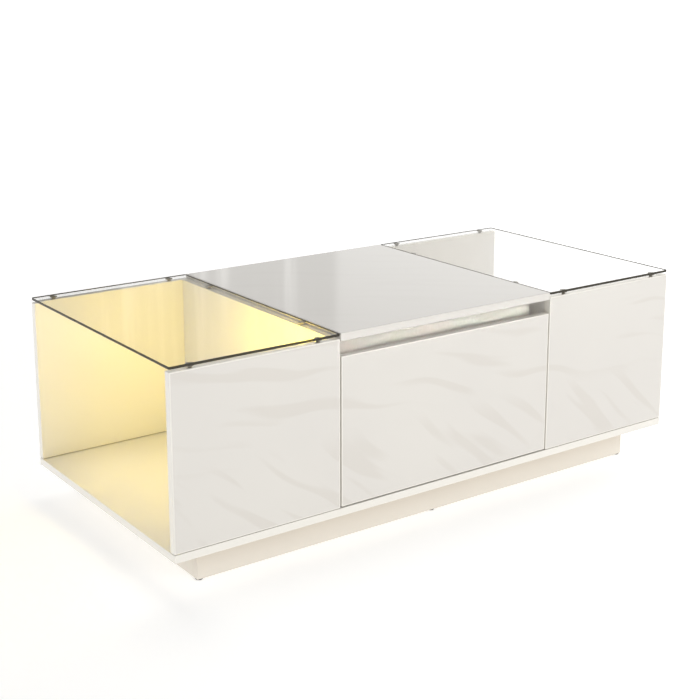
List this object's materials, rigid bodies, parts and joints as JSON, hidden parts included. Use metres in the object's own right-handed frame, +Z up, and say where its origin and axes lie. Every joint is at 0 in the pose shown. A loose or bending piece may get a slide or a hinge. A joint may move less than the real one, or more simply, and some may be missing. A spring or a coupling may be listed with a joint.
{
  "type": "lift top coffee table",
  "caption": "Low white cabinet table on a recessed plinth, with glass-topped open end bays, a lid that lifts forward over a hidden tray, and a drawer.",
  "frame": {"origin": "floor level, under the middle of the table", "axes": "+Z up, +X to the right along the length as seen from the front, -Y out of the drawer front"},
  "size_m": [1.2, 0.566, 0.417],
  "materials": {
    "white_gloss": "white high-gloss lacquer on fibreboard",
    "white_lid": "white mirror-gloss lacquer on fibreboard",
    "white_satin": "white satin melamine on fibreboard",
    "ivory_plinth": "ivory matt lacquer on fibreboard",
    "pine": "raw sawn pine",
    "beech": "raw fluted beech",
    "clear_glass": "polished tempered glass",
    "smoke_rubber": "translucent smoke elastomer",
    "black_felt": "matt black",
    "anodised": "satin anodised",
    "warm_light": "frosted, lit warm white",
    "cap_white": "matt white",
    "slide_zinc": "zinc-plated, drawn lengthwise",
    "screw_zinc": "bright zinc",
    "lift_black": "black powder coat",
    "pivot_steel": "turned steel",
    "spring_steel": "oiled spring wire"
  },
  "bodies": {
    "root": {"glides": "black_felt", "plinth_front": "ivory_plinth", "plinth_back": "ivory_plinth", "plinth_left": "ivory_plinth", "plinth_right": "ivory_plinth", "plinth_stretchers": "pine", "plinth_corner_blocks": "pine", "bottom_panel": "white_gloss", "left_front_panel": "white_gloss", "right_front_panel": "white_gloss", "left_back_panel": "white_gloss", "right_back_panel": "white_gloss", "left_divider": "white_gloss", "right_divider": "white_gloss", "middle_back_panel": "white_gloss", "finger_rail": "white_satin", "tray_floor": "white_satin", "lid_rest_pads": "smoke_rubber", "carcass_pegs": "beech", "glass_left": "clear_glass", "glass_right": "clear_glass", "glass_bumpers_left": "smoke_rubber", "glass_bumpers_right": "smoke_rubber", "light_channel": "anodised", "light_diffuser": "warm_light", "light_end_caps": "cap_white", "slide_outer_left": "slide_zinc", "slide_outer_right": "slide_zinc", "slide_outer_screws": "screw_zinc", "lift_base_left": "lift_black", "lift_base_right": "lift_black", "lift_base_screws": "screw_zinc", "lift_pivots_left": "pivot_steel", "lift_pivots_right": "pivot_steel", "lift_spring_left": "spring_steel", "lift_spring_right": "spring_steel"},
    "drawer": {"drawer_front": "white_gloss", "drawer_side_left": "white_satin", "drawer_side_right": "white_satin", "drawer_back": "white_satin", "drawer_bottom": "white_satin", "drawer_pegs": "beech", "slide_inner_left": "slide_zinc", "slide_inner_right": "slide_zinc", "slide_inner_screws": "screw_zinc"},
    "slide_middle_left": {"slide_middle_left": "slide_zinc"},
    "slide_middle_right": {"slide_middle_right": "slide_zinc"},
    "upper_arm_left": {"upper_arm_left": "lift_black"},
    "upper_arm_right": {"upper_arm_right": "lift_black"},
    "lower_arm_left": {"lower_arm_left": "lift_black"},
    "lower_arm_right": {"lower_arm_right": "lift_black"},
    "lid": {"lift_lid": "white_lid", "lid_bracket_left": "lift_black", "lid_bracket_right": "lift_black", "lid_pivots_left": "pivot_steel", "lid_pivots_right": "pivot_steel", "lid_bracket_screws": "screw_zinc"}
  },
  "joints": [
    {"name": "lid_lift", "type": "hinge", "parent": "root", "child": "upper_arm_left", "pos_m": [-0.2525, -0.15, 0.362], "axis": [1, 0, 0], "range_deg": [0, 140]},
    {"name": "upper_arm_right_pivot", "type": "hinge", "parent": "root", "child": "upper_arm_right", "pos_m": [0.2525, -0.15, 0.362], "axis": [1, 0, 0], "range_deg": [0, 140]},
    {"name": "lower_arm_left_pivot", "type": "hinge", "parent": "root", "child": "lower_arm_left", "pos_m": [-0.2525, -0.09, 0.334], "axis": [1, 0, 0], "range_deg": [0, 140]},
    {"name": "lower_arm_right_pivot", "type": "hinge", "parent": "root", "child": "lower_arm_right", "pos_m": [0.2525, -0.09, 0.334], "axis": [1, 0, 0], "range_deg": [0, 140]},
    {"name": "lid_level", "type": "hinge", "parent": "upper_arm_left", "child": "lid", "pos_m": [-0.2525, 0.03928, 0.34544], "axis": [1, 0, 0], "range_deg": [-140, 0]},
    {"name": "drawer_slide", "type": "slide", "parent": "root", "child": "drawer", "axis": [0, -1, 0], "range_m": [0, 0.4]},
    {"name": "slide_middle_left_travel", "type": "slide", "parent": "root", "child": "slide_middle_left", "axis": [0, -1, 0], "range_m": [0, 0.2]},
    {"name": "slide_middle_right_travel", "type": "slide", "parent": "root", "child": "slide_middle_right", "axis": [0, -1, 0], "range_m": [0, 0.2]}
  ],
  "couplings": [
    {"joint": "upper_arm_right_pivot", "follows": "lid_lift", "ratio": 1},
    {"joint": "lower_arm_left_pivot", "follows": "lid_lift", "ratio": 1},
    {"joint": "lower_arm_right_pivot", "follows": "lid_lift", "ratio": 1},
    {"joint": "lid_level", "follows": "lid_lift", "ratio": -1},
    {"joint": "slide_middle_left_travel", "follows": "drawer_slide", "ratio": 0.5},
    {"joint": "slide_middle_right_travel", "follows": "drawer_slide", "ratio": 0.5}
  ]
}
